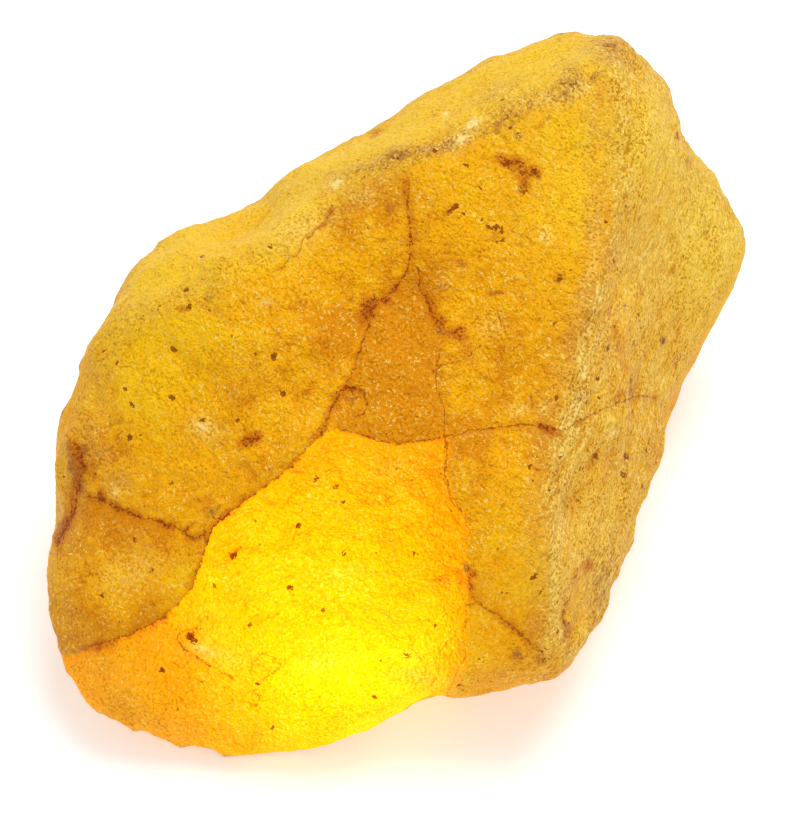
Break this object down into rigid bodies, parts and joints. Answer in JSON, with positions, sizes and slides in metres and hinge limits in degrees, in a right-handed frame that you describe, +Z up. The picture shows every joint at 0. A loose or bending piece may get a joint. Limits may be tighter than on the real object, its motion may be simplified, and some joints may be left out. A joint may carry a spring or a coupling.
{
  "type": "rough yellow sapphire",
  "caption": "Loose water-worn lump of rough yellow sapphire with broad worn faces, rounded edges and shallow breaks, lying on a flat broken base.",
  "frame": {"origin": "bottom centre of the stone's box, on the surface that it lies on", "axes": "+Z up from the surface, +Y along the stone's longest extent towards its high pointed end, +X towards its steep worn flank"},
  "size_m": [0.0378, 0.0524, 0.0294],
  "materials": {
    "sapphire": "water-worn frosted crystal, cloudy amber yellow, light passes a little way in"
  },
  "bodies": {
    "root": {"sapphire": "sapphire"}
  },
  "joints": []
}
